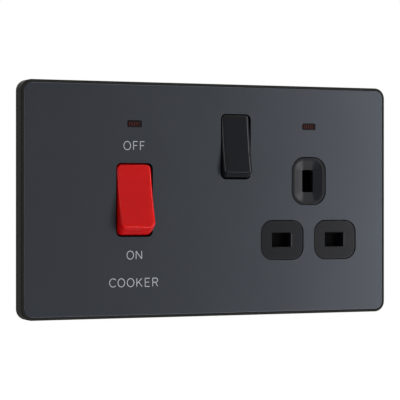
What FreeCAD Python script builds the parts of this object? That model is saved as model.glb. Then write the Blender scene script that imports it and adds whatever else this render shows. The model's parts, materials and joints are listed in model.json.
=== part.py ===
# Cooker control unit: a flush two-gang plate with a double-pole cooker switch, a switched
# three-pin socket outlet and two neon indicators, and the mechanism behind it.
# Millimetres. +Z is up and +X is to the right seen from the front. The front faces -Y, the wall
# plane is Y = 0, and the origin is the middle of the plate on the wall plane.

import FreeCAD, Part
import math
import os
from FreeCAD import Vector

# Front plate and its carrier
plate_width = 146.0
plate_height = 86.0
plate_corner = 4.0
plate_depth = 6.8
sheet_thickness = 1.0
sheet_edge_round = 0.35
rim_front_width = 1.0
rim_setback = 0.2
rim_edge_round = 0.6
rim_wall = 1.8
web_thickness = 1.5
sheet_play = 0.05
hook_count = 3
hook_pitch = 48.0
hook_width = 8.0
hook_thickness = 1.2
hook_reach = 0.75
hook_wall_gap = 0.425
pry_width = 9.0
pry_depth = 1.6

# Chassis
chassis_thickness = 2.3
chassis_play = 0.35
chassis_corner = 2.0
rib_width = 1.6
fit_gap = 0.1
fixing_inset = 12.7
fixing_hole_r = 2.1
fixing_slot_play = 1.0
fixing_seat = 1.6
fixing_pad_r = 5.4
fixing_recess_r = 4.0
well_side_wall = 2.2
well_end_wall = 1.1
well_depth = 5.0

# Rear cover
cover_terminal_room = 9.2
cover_right_reach = 13.77
cover_insert_room = 1.67
cover_link_room = 3.1
cover_below_room = 3.2
cover_wing_room = 1.6
cover_strip_room = 1.5
cover_corner = 3.0
cover_edge_round = 1.0
cover_wall = 1.5
cover_floor = 2.0
post_r = 2.8
post_top = 9.8
pillar_r = 4.0
pillar_gap = 0.2
pillar_head_r = 3.1
pillar_head_depth = 6.0
assembly_screw_r = 1.4
assembly_head_r = 2.8
assembly_head_height = 2.0
assembly_screw_length = 13.0
thread_play = 0.05
left_posts = [(-15.35, 0.0), (17.05, 22.5), (17.05, -22.0)]
right_posts = [(-16.83, 28.0), (9.37, 29.5), (-10.03, 0.0)]
pillar_bore_play = 0.3

# Cooker switch: middle of its rocker on the plate, then the rocker
cooker_inset = 42.8
cooker_z = 0.0
cooker_opening = (14.3, 26.9)
cooker_rocker_width = 13.25
cooker_corner_round = 2.0
cooker_edge_round = 0.7
cooker_pivot_depth = 4.5
cooker_end_r = 13.5
cooker_half_angle = 59.3
cooker_tilt = 13.0
cooker_dish = 0.6
cooker_plunger_side = 3.6
cooker_plunger_reach = 11.5

# Socket switch
switch_x = 10.1
switch_z = 19.78
switch_opening = (12.2, 24.35)
switch_rocker_width = 11.7
switch_corner_round = 1.5
switch_edge_round = 0.35
switch_pivot_depth = 5.0
switch_end_r = 12.6
switch_half_angle = 57.7
switch_tilt = 9.0
switch_dish = 0.4
switch_plunger_reach = 10.5

# Both rockers
opening_corner = 2.0
web_opening_side = 0.3
web_opening_end = 0.65
rocker_shell = 1.6
rocker_end_wall = 2.4
rocker_skirt_angle = 84.0
rocker_skirt_depth = 1.2
rocker_skirt_draw = 0.9
trunnion_r = 1.5
trunnion_play = 0.05
trunnion_length = 2.3
trunnion_end_gap = 0.1
rocker_side_gap = 0.4
rocker_end_gap = 0.5
tube_wall = 0.65
tube_depth = 6.0
tube_floor = -3.0
plunger_r = 1.7
plunger_play = 0.05
plunger_tail = 3.0
plunger_neck = 1.5
plunger_nose_r = 1.2
spring_wire_r = 0.22
spring_turns = 5.0
spring_play = 0.15

# Contact arms
arm_thickness = 1.2
arm_above_axis = 1.3
arm_width = 6.2
arm_side = 4.9
arm_tail = 8.0
arm_overrun = 1.9
knife_r = 0.8
knife_play = 0.05
plunger_arm_gap = 0.1
button_r = 1.9
button_height = 0.8
button_gap = 0.08
cooker_arm_length = 9.5
cooker_arm_tilt = 9.0
switch_arm_length = 8.5
switch_arm_tilt = 8.0
switch_arm_width = 5.0

# Cable terminals of the cooker switch
strip_thickness = 1.5
strip_overrun = 0.4
block_side = 6.5
block_width = 9.5
block_front = 6.0
block_rear_room = 2.0
block_inner_z = 14.0
block_height = 11.0
cable_hole_r = 3.0
cable_y = 10.3
clamp_r = 2.4
clamp_tip_gap = 0.2
clamp_length = 4.8
clamp_slot = 0.8
clamp_slot_depth = 1.1
bay_play = 0.25
bay_floor = 2.5
bay_wall = 1.6
strip_slot_room = 4.0
barrier_thickness = 1.2
barrier_front = 8.0
barrier_seat = 1.2
barrier_play = 0.05

# Links
link_thickness = 1.2
live_link_rise = 3.2
live_link_height = 3.0
live_link_overrun = 2.0
neutral_link_drop = 0.6
neutral_link_height = 3.2
neutral_leg_side = 18.03
neutral_leg_width = 3.2
strip_gap = 0.4
socket_strip_height = 3.4
socket_leg_side = 6.57
socket_leg_width = 3.4

# Socket outlet
socket_inset = 32.67
socket_z = -15.09
pin_side = 11.11
earth_rise = 22.23
earth_pin = (3.97, 7.95)
line_aperture = (7.8, 5.3)
earth_aperture = (4.55, 8.45)
aperture_chamfer = 0.35
aperture_corner = 0.3
line_boss = (17.55, 14.8, 4.6)
earth_boss = (14.1, 18.0, 5.1)
boss_setback = 0.25
boss_gap = 0.15
boss_edge_round = 0.35
earth_dish_rim = 1.2
earth_dish_depth = 0.85
earth_dish_turn = 30.0
earth_dish_foot_corner = 0.6
earth_dish_steps = 4
socket_front_wall = 1.5
insert_margin = 2.74
insert_below = 11.71
insert_above = 5.49
insert_neck = 5.85
insert_head = 6.26
insert_rear = 0.8
insert_wall = 1.2
insert_barb = 0.7
insert_barb_height = 1.1
insert_barb_half = 3.0

# Shutter
shutter_gap = 0.1
shutter_thickness = 1.5
shutter_overlap = 0.95
shutter_travel = 6.5
shutter_stem_half = 4.0
shutter_stem_depth = 3.35
ramp_half = 2.0
ramp_start = 0.0
ramp_back_land = 0.6
ramp_lead = 0.2
ramp_web = 1.5
shutter_window_half = 2.2
shutter_window_rise = 0.49
shutter_window_height = 12.1
spring_peg_height = 1.4
spring_peg_half = 1.9
shutter_spring_r = 1.4
shutter_spring_y = -1.0
shutter_spring_turns = 7.0
retainer_thickness = 1.2
retainer_pad_half = 1.0
retainer_pad_side = 6.0
retainer_inset = 0.5
retainer_slot_room = 1.9

# Socket contacts
leaf_thickness = 0.8
leaf_gap = 3.5
leaf_front = 4.5
leaf_flare = 1.3
line_leaf_width = 6.0
line_leaf_rear = 13.4
earth_leaf_width = 7.0
earth_leaf_front = 8.0
earth_leaf_rear = 15.5

# Earth terminal and its strip
earth_block_side = 34.05
earth_block_width = 20.0
earth_block_front = 7.0
earth_block_bottom = -27.5
earth_block_height = 10.0
earth_cable_side = 5.2
earth_cable_r = 2.4
earth_clamp_r = 2.0
earth_clamp_rise = 1.2
earth_strip_height = 2.8
earth_leg_width = 4.0

# Neon indicators
neon_z = 27.7
neon_window = (5.6, 2.5)
neon_window_corner = 0.5
neon_lens_play = 0.1
neon_lens_setback = 0.25
neon_flange = (7.0, 4.0)
neon_flange_thickness = 1.7
neon_flange_play = 0.1
lamp_r = 1.9
lamp_length = 9.0
lamp_y = 0.6
lamp_play = 0.05
lamp_end_round = 1.14
cradle_side = 3.0
cradle_thickness = 1.2
cradle_lip = 1.0

# Screws that fix the unit to its wall box
fixing_screw_r = 1.75
fixing_neck_r = 1.5
fixing_neck_length = 2.0
fixing_head_r = 3.3
fixing_head_height = 2.1
fixing_screw_reach = 24.0
fixing_head_round = 0.8
fixing_slot = 1.0
fixing_slot_depth = 1.1

# How far joined bodies run into one another, and how far a cutting body runs past a face
weld = 0.2
root = 0.5
over = 1.0
tiny = 0.01

# Places on the plate worked out from the sizes above
cooker_x = -plate_width / 2 + cooker_inset
socket_x = plate_width / 2 - socket_inset
fixing_centres = plate_width - 2 * fixing_inset
neon_places = (cooker_x, socket_x)
earth_block_x = cooker_x + earth_block_side
earth_z = socket_z + earth_rise
insert_side = pin_side + line_aperture[0] / 2 + insert_margin
insert_bottom = socket_z - insert_below
insert_shoulder = socket_z + insert_above
insert_top = earth_z + insert_head
shutter_window_bottom = socket_z + shutter_window_rise
shutter_window_top = shutter_window_bottom + shutter_window_height
live_link_bottom = cooker_z + block_inner_z + block_height + live_link_rise
neutral_link_bottom = cooker_z + block_inner_z - neutral_link_drop
neutral_leg_left = socket_x - neutral_leg_side
socket_leg_left = socket_x + socket_leg_side
cover_left = cooker_x - block_side - block_width / 2 - cover_terminal_room
cover_right = socket_x + cover_right_reach
cover_top = live_link_bottom + live_link_height + cover_link_room + cover_wall
cover_bottom = insert_bottom - cover_below_room - cover_wall
cover_wing_right = socket_x + insert_side + cover_insert_room + cover_wall
cover_wing_top = insert_shoulder + cover_wing_room
assembly_places = [(cooker_x + x, z) for x, z in left_posts]
assembly_places += [(socket_x + x, z) for x, z in right_posts]

# Levels worked out from the sizes above, along Y
face_y = -plate_depth
sheet_back = face_y + sheet_thickness
web_back = sheet_back + web_thickness
chassis_back = web_back + chassis_thickness
boss_face = face_y + boss_setback
shutter_front = web_back + socket_front_wall + shutter_gap / 2
shutter_back = shutter_front + shutter_thickness
cooker_pivot_y = face_y + cooker_pivot_depth
switch_pivot_y = face_y + switch_pivot_depth
nose_stack = plunger_nose_r + arm_above_axis + plunger_arm_gap
cooker_knife_y = cooker_pivot_y + cooker_plunger_reach + nose_stack
switch_knife_y = switch_pivot_y + switch_plunger_reach + nose_stack
socket_strip_y = line_leaf_rear + leaf_thickness / 2 + link_thickness + strip_gap
earth_strip_y = earth_leaf_rear + leaf_thickness / 2 + strip_gap
cover_inner = earth_strip_y + link_thickness + cover_strip_room
cover_depth = cover_inner + cover_floor
block_rear = cover_inner - block_rear_room
chassis_half_width = plate_width / 2 - rim_wall - chassis_play
chassis_half_height = plate_height / 2 - rim_wall - chassis_play

x_axis = Vector(1, 0, 0)


def box(x0, x1, y0, y1, z0, z1):
    return Part.makeBox(x1 - x0, y1 - y0, z1 - z0, Vector(x0, y0, z0))


def cylinder(x, y, z, r, length, direction):
    return Part.makeCylinder(r, length, Vector(x, y, z), Vector(*direction))


def rod_x(x0, x1, y, z, r):
    return cylinder(x0, y, z, r, x1 - x0, (1, 0, 0))


def rod_y(x, y0, y1, z, r):
    return cylinder(x, y0, z, r, y1 - y0, (0, 1, 0))


def rod_z(x, y, z0, z1, r):
    return cylinder(x, y, z0, r, z1 - z0, (0, 0, 1))


def rounded_wire(cx, cz, width, height, r, y):
    """A rounded rectangle in a plane of constant Y."""
    a, b = width / 2, height / 2
    d = r * (1 - math.sqrt(0.5))
    corners = [(1, 1), (-1, 1), (-1, -1), (1, -1)]
    edges = []
    for k, (sx, sz) in enumerate(corners):
        first = Vector(cx + sx * a, y, cz + sz * (b - r))
        middle = Vector(cx + sx * (a - d), y, cz + sz * (b - d))
        last = Vector(cx + sx * (a - r), y, cz + sz * b)
        if sx * sz < 0:
            first, last = last, first
        edges.append(Part.Arc(first, middle, last).toShape())
        nx, nz = corners[(k + 1) % 4]
        start = Vector(cx + nx * a, y, cz + nz * (b - r))
        if nx * nz < 0:
            start = Vector(cx + nx * (a - r), y, cz + nz * b)
        edges.append(Part.LineSegment(last, start).toShape())
    return Part.Wire(edges)


def slab(cx, cz, width, height, r, y0, y1):
    face = Part.Face(rounded_wire(cx, cz, width, height, r, y0))
    return face.extrude(Vector(0, y1 - y0, 0))


def taper_slab(cx, cz, size0, size1, y0, y1):
    """A ruled body between two rounded rectangles, each given as (width, height, corner)."""
    first = rounded_wire(cx, cz, size0[0], size0[1], size0[2], y0)
    last = rounded_wire(cx, cz, size1[0], size1[1], size1[2], y1)
    return Part.makeLoft([first, last], True, True)


def prism_x(points, x0, x1):
    """A prism along X whose section is a list of (y, z) points."""
    wire = Part.makePolygon([Vector(x0, y, z) for y, z in points + points[:1]])
    return Part.Face(wire).extrude(Vector(x1 - x0, 0, 0))


def plate_y(points, y0, y1):
    """A flat plate across Y whose outline is a list of (x, z) points."""
    wire = Part.makePolygon([Vector(x, y0, z) for x, z in points + points[:1]])
    return Part.Face(wire).extrude(Vector(0, y1 - y0, 0))


def ribbon(path, thickness):
    """The outline of a strip of one thickness that follows a bent path in a plane."""
    left, right = [], []
    for k, (u, v) in enumerate(path):
        before = path[max(k - 1, 0)]
        after = path[min(k + 1, len(path) - 1)]
        a = math.atan2(v - before[1], u - before[0]) if k > 0 else None
        b = math.atan2(after[1] - v, after[0] - u) if k < len(path) - 1 else None
        a = b if a is None else a
        b = a if b is None else b
        turn = math.atan2(math.sin(b - a), math.cos(b - a))
        middle = a + turn / 2
        reach = thickness / 2 / math.cos(turn / 2)
        du, dv = -math.sin(middle) * reach, math.cos(middle) * reach
        left.append((u + du, v + dv))
        right.append((u - du, v - dv))
    return left + right[::-1]


def fuse(first, *others):
    return first.multiFuse([o for o in others]).removeSplitter()


def cut(shape, *tools):
    return shape.cut(Part.makeCompound([t for t in tools]))


def turned(shape, y, z, angle):
    """A copy turned about an axis along X through (y, z)."""
    copy = shape.copy()
    copy.rotate(Vector(0, y, z), x_axis, angle)
    return copy


def edges_where(shape, test):
    return [e for e in shape.Edges if test(e)]


# Front plate: a sheet with its openings, in a moulded carrier that clips to the chassis

def rocker_openings(y0, y1, side, end):
    """The two rocker openings, wider by side and longer by end on each side."""
    cooker = slab(cooker_x, cooker_z, cooker_opening[0] + 2 * side, cooker_opening[1] + 2 * end,
                  opening_corner, y0, y1)
    switch = slab(switch_x, switch_z, switch_opening[0] + 2 * side, switch_opening[1] + 2 * end,
                  opening_corner, y0, y1)
    return [cooker, switch]


def neon_openings(y0, y1, gap):
    return [slab(x, neon_z, neon_window[0] + 2 * gap, neon_window[1] + 2 * gap,
                 neon_window_corner, y0, y1) for x in neon_places]


def boss_places():
    """Each socket boss as (x, z, (width, height, corner))."""
    return [(socket_x, earth_z, earth_boss), (socket_x - pin_side, socket_z, line_boss),
            (socket_x + pin_side, socket_z, line_boss)]


def boss_bodies(y0, y1, gap):
    return [slab(x, z, size[0] + 2 * gap, size[1] + 2 * gap, size[2] + gap, y0, y1)
            for x, z, size in boss_places()]


def front_plate():
    width = plate_width - 2 * rim_front_width
    height = plate_height - 2 * rim_front_width
    corner = plate_corner - rim_front_width
    sheet = slab(0, 0, width, height, corner, face_y, sheet_back)
    rim = edges_where(sheet, lambda e: e.BoundBox.YMax < face_y + tiny)
    sheet = sheet.makeFillet(sheet_edge_round, rim)
    reach = sheet_thickness
    holes = rocker_openings(face_y - reach, sheet_back + reach, 0, 0)
    holes += neon_openings(face_y - reach, sheet_back + reach, 0)
    holes += boss_bodies(face_y - reach, sheet_back + reach, boss_gap)
    return cut(sheet, *holes)


def hook_places():
    middle = (hook_count - 1) / 2
    return [((k - middle) * hook_pitch, side) for k in range(hook_count) for side in (-1, 1)]


def plate_carrier():
    lip = face_y + rim_setback
    body = slab(0, 0, plate_width, plate_height, plate_corner, lip, 0)
    rim = edges_where(body, lambda e: e.BoundBox.YMax < lip + tiny)
    body = body.makeFillet(rim_edge_round, rim)
    seat = slab(0, 0, plate_width - 2 * rim_front_width + 2 * sheet_play,
                plate_height - 2 * rim_front_width + 2 * sheet_play,
                plate_corner - rim_front_width + sheet_play, face_y - rim_setback, sheet_back)
    inside = slab(0, 0, plate_width - 2 * rim_wall, plate_height - 2 * rim_wall,
                  plate_corner - rim_wall, web_back, over)
    holes = rocker_openings(face_y, web_back + over, web_opening_side, web_opening_end)
    holes += neon_openings(face_y, web_back + over, neon_lens_play / 2)
    holes += boss_bodies(face_y, web_back + over, boss_gap)
    pry = box(-pry_width / 2, pry_width / 2, -pry_depth, over,
              -plate_height / 2 - over, -plate_height / 2 + rim_wall + over)
    body = cut(body, seat, inside, pry, *holes)
    hooks = []
    barb_root = chassis_half_height - hook_thickness - 2 * fit_gap
    for x, side in hook_places():
        z0 = side * (chassis_half_height - fit_gap)
        z1 = side * (chassis_half_height - fit_gap - hook_thickness)
        z2 = side * (barb_root - fit_gap - hook_reach)
        tip = -hook_wall_gap
        catch = chassis_back + fit_gap / 2
        outline = [(web_back, z0), (tip, z0), (tip, z1), (catch, z2), (catch, z1), (web_back, z1)]
        hooks.append(prism_x(outline, x - hook_width / 2, x + hook_width / 2))
    return fuse(body, *hooks)


# Chassis: the moulded frame that the box screws hold

def well(x, z, rocker_width, end_r):
    """Outer and inner body of the pocket that a rocker turns in."""
    half_width = rocker_width / 2 + rocker_side_gap
    half_length = end_r + rocker_end_gap
    outer = slab(x, z, 2 * (half_width + well_side_wall), 2 * (half_length + well_end_wall),
                 opening_corner, chassis_back - over, chassis_back + well_depth)
    inner = slab(x, z, 2 * half_width, 2 * half_length, opening_corner / 2,
                 web_back - over, chassis_back + well_depth + over)
    return outer, inner


def trunnion_holes(x, y, z, rocker_width):
    reach = rocker_width / 2 + trunnion_length + trunnion_end_gap
    return rod_x(x - reach, x + reach, y, z, trunnion_r + trunnion_play)


def insert_outline(grow):
    """Outline of the part of the socket insert that passes through the chassis."""
    side, neck = insert_side + grow, insert_neck + grow
    bottom, shoulder, top = insert_bottom - grow, insert_shoulder + grow, insert_top + grow
    return [(socket_x - side, bottom), (socket_x + side, bottom), (socket_x + side, shoulder),
            (socket_x + neck, shoulder), (socket_x + neck, top), (socket_x - neck, top),
            (socket_x - neck, shoulder), (socket_x - side, shoulder)]


def lamp_cradle(x):
    """Two ribs with half-round seats that hold a neon lamp behind its window."""
    ribs = []
    for side in (-1, 1):
        middle = x + side * cradle_side
        rib = box(middle - cradle_thickness / 2, middle + cradle_thickness / 2,
                  chassis_back - root, lamp_y, neon_z - lamp_r - cradle_lip,
                  neon_z + lamp_r + cradle_lip)
        seat = rod_x(middle - over, middle + over, lamp_y, neon_z, lamp_r + lamp_play)
        ribs.append(cut(rib, seat))
    return ribs


def chassis():
    flange = slab(0, 0, 2 * chassis_half_width, 2 * chassis_half_height, chassis_corner,
                  web_back, 0)
    hollow = slab(0, 0, 2 * (chassis_half_width - rib_width),
                  2 * (chassis_half_height - rib_width), chassis_corner / 2, chassis_back, over)
    adds, cuts = [], []
    for side in (-1, 1):
        x = side * fixing_centres / 2
        adds.append(rod_y(x, web_back, 0, 0, fixing_pad_r))
        cuts.append(rod_y(x, web_back - over, -fixing_seat, 0, fixing_recess_r))
        play = fixing_slot_play if side > 0 else 0.0
        size = 2 * fixing_hole_r
        cuts.append(slab(x, 0, size + 2 * play, size, fixing_hole_r - tiny / 10, web_back - over, over))
    for x, y, z, width, end_r in (
            (cooker_x, cooker_pivot_y, cooker_z, cooker_rocker_width, cooker_end_r),
            (switch_x, switch_pivot_y, switch_z, switch_rocker_width, switch_end_r)):
        outer, inner = well(x, z, width, end_r)
        adds.append(outer)
        cuts.append(inner)
        cuts.append(trunnion_holes(x, y, z, width))
    cuts.append(plate_y(insert_outline(fit_gap), web_back - over, over))
    for x in neon_places:
        adds += lamp_cradle(x)
        cuts.append(slab(x, neon_z, neon_flange[0] + 2 * neon_flange_play,
                         neon_flange[1] + 2 * neon_flange_play, neon_window_corner,
                         web_back - over, web_back + neon_flange_thickness))
        cuts.append(slab(x, neon_z, neon_window[0], neon_window[1], neon_window_corner,
                         web_back, chassis_back + root))
    for x, z in assembly_places:
        adds.append(rod_y(x, chassis_back - root, post_top, z, post_r))
        cuts.append(rod_y(x, chassis_back, post_top + over, z, assembly_screw_r + thread_play))
    for x, side in hook_places():
        depth = hook_thickness + 2 * fit_gap
        z0, z1 = sorted((side * (chassis_half_height - depth), side * (chassis_half_height + over)))
        reach = hook_width / 2 + fit_gap
        cuts.append(box(x - reach, x + reach, web_back - over, over, z0, z1))
        depth += rib_width
        z0, z1 = sorted((side * (chassis_half_height - depth), side * (chassis_half_height + over)))
        cuts.append(box(x - reach, x + reach, chassis_back, over, z0, z1))
    return cut(fuse(cut(flange, hollow), *adds), *cuts)


# Rockers, their plungers and springs

def rocker_section(pivot_y, z, end_r, half_angle, dish, inset):
    """Side outline of a rocker in its middle position, as a wire in a plane of constant X."""
    r = end_r - inset
    top = math.radians(half_angle)
    skirt = math.radians(rocker_skirt_angle)

    def at(radius, angle, side):
        return Vector(0, pivot_y - radius * math.cos(angle), z + side * radius * math.sin(angle))

    face_depth = pivot_y - end_r * math.cos(top) + dish + inset
    floor = pivot_y + rocker_skirt_depth
    ends = {}
    for side in (-1, 1):
        rim, low = at(r, top, side), at(r, skirt, side)
        middle = at(r, (top + skirt) / 2, side)
        foot = Vector(0, floor, low.z - side * rocker_skirt_draw)
        ends[side] = (rim, middle, low, foot)
    lower, upper = ends[-1], ends[1]
    shift = Vector(0, inset, 0)
    face = Part.Arc(lower[0] + shift, Vector(0, face_depth, z), upper[0] + shift).toShape()
    edges = [face]
    if inset > 0:
        edges.append(Part.LineSegment(upper[0] + shift, upper[2]).toShape())
        edges.append(Part.LineSegment(upper[2], upper[3]).toShape())
        edges.append(Part.LineSegment(upper[3], lower[3]).toShape())
        edges.append(Part.LineSegment(lower[3], lower[2]).toShape())
        edges.append(Part.LineSegment(lower[2], lower[0] + shift).toShape())
        return Part.Wire(edges)
    edges.append(Part.Arc(upper[0], upper[1], upper[2]).toShape())
    edges.append(Part.LineSegment(upper[2], upper[3]).toShape())
    edges.append(Part.LineSegment(upper[3], lower[3]).toShape())
    edges.append(Part.LineSegment(lower[3], lower[2]).toShape())
    edges.append(Part.Arc(lower[2], lower[1], lower[0]).toShape())
    return Part.Wire(edges)


def rocker_slice(wire, x0, x1):
    copy = wire.copy()
    copy.translate(Vector(x0, 0, 0))
    return Part.Face(copy).extrude(Vector(x1 - x0, 0, 0))


def rocker(x, pivot_y, z, width, end_r, half_angle, dish, rounds, tilt, plunger_places):
    """A rocker moulding with trunnions and plunger tubes, turned to its off position."""
    skin = rocker_section(pivot_y, z, end_r, half_angle, dish, 0)
    body = rocker_slice(skin, x - width / 2, x + width / 2)
    line = pivot_y - end_r * math.cos(math.radians(half_angle)) + dish
    end_edges = edges_where(body, lambda e: e.BoundBox.XLength < tiny and e.BoundBox.YMin < line
                            and e.BoundBox.YMax > line)
    corner_round, edge_round = rounds
    body = body.makeFillet(corner_round, end_edges)
    front = edges_where(body, lambda e: e.BoundBox.YMax < line + tiny)
    body = body.makeFillet(edge_round, front)
    core = rocker_section(pivot_y, z, end_r, half_angle, dish, rocker_shell)
    reach = width / 2 - rocker_shell
    core = rocker_slice(core, x - reach, x + reach)
    open_end = end_r - rocker_end_wall
    under = box(x - reach, x + reach, pivot_y, pivot_y + end_r, z - open_end, z + open_end)
    body = cut(body, core, under)
    tube_r = plunger_r + plunger_play + tube_wall
    adds, cuts = [], []
    for px in plunger_places:
        top = face_limit(pivot_y, end_r, half_angle, dish)
        adds.append(rod_y(px, top, pivot_y + tube_depth, z, tube_r))
        cuts.append(rod_y(px, pivot_y + tube_floor, pivot_y + tube_depth + over, z,
                          plunger_r + plunger_play))
    hub = rod_x(x - reach - root, x + reach + root, pivot_y, z, trunnion_r)
    for side in (-1, 1):
        start = x + side * (width / 2 - rocker_shell / 2)
        end = x + side * (width / 2 + trunnion_length)
        adds.append(rod_x(min(start, end), max(start, end), pivot_y, z, trunnion_r))
    body = cut(fuse(body, hub, *adds), *cuts)
    return turned(body, pivot_y, z, -tilt)


def face_limit(pivot_y, end_r, half_angle, dish):
    """Depth of the middle of a rocker's dished face, half a shell thickness in."""
    return pivot_y - end_r * math.cos(math.radians(half_angle)) + dish + rocker_shell / 2


def plunger(x, pivot_y, z, reach, tilt):
    start = pivot_y + plunger_tail
    nose = pivot_y + reach
    shoulder = nose - plunger_neck
    rod = rod_y(x, start, shoulder, z, plunger_r)
    neck = Part.makeCone(plunger_r, plunger_nose_r, plunger_neck, Vector(x, shoulder, z),
                         Vector(0, 1, 0))
    ball = Part.makeSphere(plunger_nose_r, Vector(x, nose, z))
    return turned(fuse(rod, neck, ball), pivot_y, z, -tilt)


def coil(radius, length, turns):
    """A coil spring of square wire standing on the origin along Z."""
    pitch = length / turns
    helix = Part.makeHelix(pitch, length, radius)
    w = spring_wire_r
    corners = [(radius - w, -w), (radius + w, -w), (radius + w, w), (radius - w, w)]
    section = Part.makePolygon([Vector(u, 0, v) for u, v in corners + corners[:1]])
    return Part.Wire(helix.Edges).makePipeShell([section], True, True)


def plunger_spring(x, pivot_y, z, tilt):
    length = plunger_tail - tube_floor - 4 * spring_wire_r
    spring = coil(plunger_r - spring_wire_r - spring_play, length, spring_turns)
    spring.rotate(Vector(0, 0, 0), x_axis, -90)
    spring.translate(Vector(x, pivot_y + tube_floor + 2 * spring_wire_r, z))
    return turned(spring, pivot_y, z, -tilt)


# Contact arms and the brass parts of the switches

def arm(x, knife_y, z, width, length, tilt):
    """A see-saw contact arm on its knife edge, turned to its off position."""
    front = knife_y - arm_above_axis
    back = front + arm_thickness
    strip = box(x - width / 2, x + width / 2, front, back, z - arm_tail, z + length + arm_overrun)
    button = rod_y(x, back - weld, back + button_height, z + length, button_r)
    saddle_depth = knife_r + knife_play + arm_thickness / 2
    saddle = box(x - width / 2, x + width / 2, front, knife_y, z - saddle_depth,
                 z + saddle_depth)
    groove = rod_x(x - width, x + width, knife_y, z, knife_r + knife_play)
    return turned(cut(fuse(strip, saddle, button), groove), knife_y, z, tilt)


def fixed_button(x, knife_y, z, length, tilt):
    """The contact button that an arm meets in its on position."""
    face = knife_y - arm_above_axis + arm_thickness + button_height + button_gap
    button = rod_y(x, face, face + button_height, z + length, button_r)
    return turned(button, knife_y, z, -tilt)


def button_seat(knife_y, length, tilt):
    """Depth of the strip behind a fixed button, just under the button's shallow side."""
    face = arm_thickness - arm_above_axis + 2 * button_height + button_gap
    a = math.radians(tilt)
    return knife_y + length * math.sin(a) + face * math.cos(a) - button_r * math.sin(a)


def knife_post(x, knife_y, z, width, strip_y):
    post = box(x - width / 2, x + width / 2, knife_y, strip_y + weld, z - knife_r, z + knife_r)
    edge = rod_x(x - width / 2, x + width / 2, knife_y, z, knife_r)
    return fuse(post, edge)


def pole_places():
    """Each pole of the cooker switch as (side, arm x, terminal block x, plunger x)."""
    return [(side, cooker_x + side * arm_side, cooker_x + side * block_side,
             cooker_x + side * cooker_plunger_side) for side in (-1, 1)]


def block_span(end):
    """Lowest and highest z of a terminal block, at the top (1) or the bottom (-1)."""
    return sorted((cooker_z + end * block_inner_z, cooker_z + end * (block_inner_z + block_height)))


def clamp_z(end):
    return cooker_z + end * (block_inner_z + block_height / 2)


def terminal_block(x, end):
    low, high = block_span(end)
    block = box(x - block_width / 2, x + block_width / 2, block_front, block_rear, low, high)
    cable = rod_z(x, cable_y, low - over, high + over, cable_hole_r)
    clamp = rod_y(x, cable_y, block_rear + over, clamp_z(end), clamp_r + thread_play)
    return cut(block, cable, clamp)


def supply_terminal(side):
    _, arm_x, block_x, _ = pole_places()[(side + 1) // 2]
    strip_y = button_seat(cooker_knife_y, cooker_arm_length, cooker_arm_tilt)
    reach = cooker_z + cooker_arm_length - button_r - strip_overrun
    strip = box(arm_x - arm_width / 2, arm_x + arm_width / 2, strip_y, strip_y + strip_thickness,
                reach, cooker_z + block_inner_z + root)
    button = fixed_button(arm_x, cooker_knife_y, cooker_z, cooker_arm_length, cooker_arm_tilt)
    return fuse(terminal_block(block_x, 1), strip, button)


def load_terminal(side):
    _, arm_x, block_x, _ = pole_places()[(side + 1) // 2]
    strip_y = button_seat(cooker_knife_y, cooker_arm_length, cooker_arm_tilt)
    strip = box(arm_x - arm_width / 2, arm_x + arm_width / 2, strip_y, strip_y + strip_thickness,
                cooker_z - block_inner_z - root, cooker_z + knife_r + strip_overrun)
    post = knife_post(arm_x, cooker_knife_y, cooker_z, arm_width, strip_y)
    return fuse(terminal_block(block_x, -1), strip, post)


def clamp_screw(x, z, r, tip):
    screw = rod_y(x, tip, tip + clamp_length, z, r)
    rear = tip + clamp_length
    slot = box(x - r - over, x + r + over, rear - clamp_slot_depth, rear + over,
               z - clamp_slot / 2, z + clamp_slot / 2)
    return cut(screw, slot)


def terminal_screws():
    tip = cable_y + cable_hole_r + clamp_tip_gap
    return Part.makeCompound([clamp_screw(block_x, clamp_z(end), clamp_r, tip)
                              for _, _, block_x, _ in pole_places() for end in (-1, 1)])


# Links from the supply terminals to the socket

def live_link():
    """Fixed contact of the socket switch and its bar to the live supply terminal."""
    y0 = button_seat(switch_knife_y, switch_arm_length, switch_arm_tilt)
    y1 = y0 + link_thickness
    block_x = pole_places()[0][2]
    top = cooker_z + block_inner_z + block_height
    high = live_link_bottom + live_link_height
    bar = box(block_x - arm_width / 2, switch_x + live_link_overrun, y0, y1,
              live_link_bottom, high)
    foot = box(block_x - arm_width / 2, block_x + arm_width / 2, y0, y1, top, high)
    button_z = switch_z + switch_arm_length
    tab = box(switch_x - switch_arm_width / 2, switch_x + live_link_overrun, y0, y1,
              button_z - button_r, high)
    button = fixed_button(switch_x, switch_knife_y, switch_z, switch_arm_length, switch_arm_tilt)
    return fuse(bar, foot, tab, button)


def line_clip(x):
    """Two sprung leaves that grip a line pin above and below, joined at the rear."""
    half = leaf_gap / 2 + leaf_thickness / 2
    z = socket_z
    path = [(leaf_front - leaf_flare, z + half + leaf_flare), (leaf_front, z + half),
            (line_leaf_rear, z + half), (line_leaf_rear, z - half), (leaf_front, z - half),
            (leaf_front - leaf_flare, z - half - leaf_flare)]
    return prism_x(ribbon(path, leaf_thickness), x - line_leaf_width / 2, x + line_leaf_width / 2)


def neutral_contact():
    """Neutral clip of the socket with its bar to the neutral supply terminal."""
    y0 = line_leaf_rear + leaf_thickness / 2
    y1 = y0 + link_thickness
    x = socket_x - pin_side
    left = pole_places()[1][2] + block_width / 2
    leg_right = neutral_leg_left + neutral_leg_width
    top = neutral_link_bottom + neutral_link_height
    outline = [(left, neutral_link_bottom), (neutral_leg_left, neutral_link_bottom),
               (neutral_leg_left, socket_z - leaf_gap / 2),
               (x + line_leaf_width / 2, socket_z - leaf_gap / 2),
               (x + line_leaf_width / 2, socket_z + leaf_gap / 2),
               (leg_right, socket_z + leaf_gap / 2), (leg_right, top), (left, top)]
    return fuse(line_clip(x), plate_y(outline, y0, y1))


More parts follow.
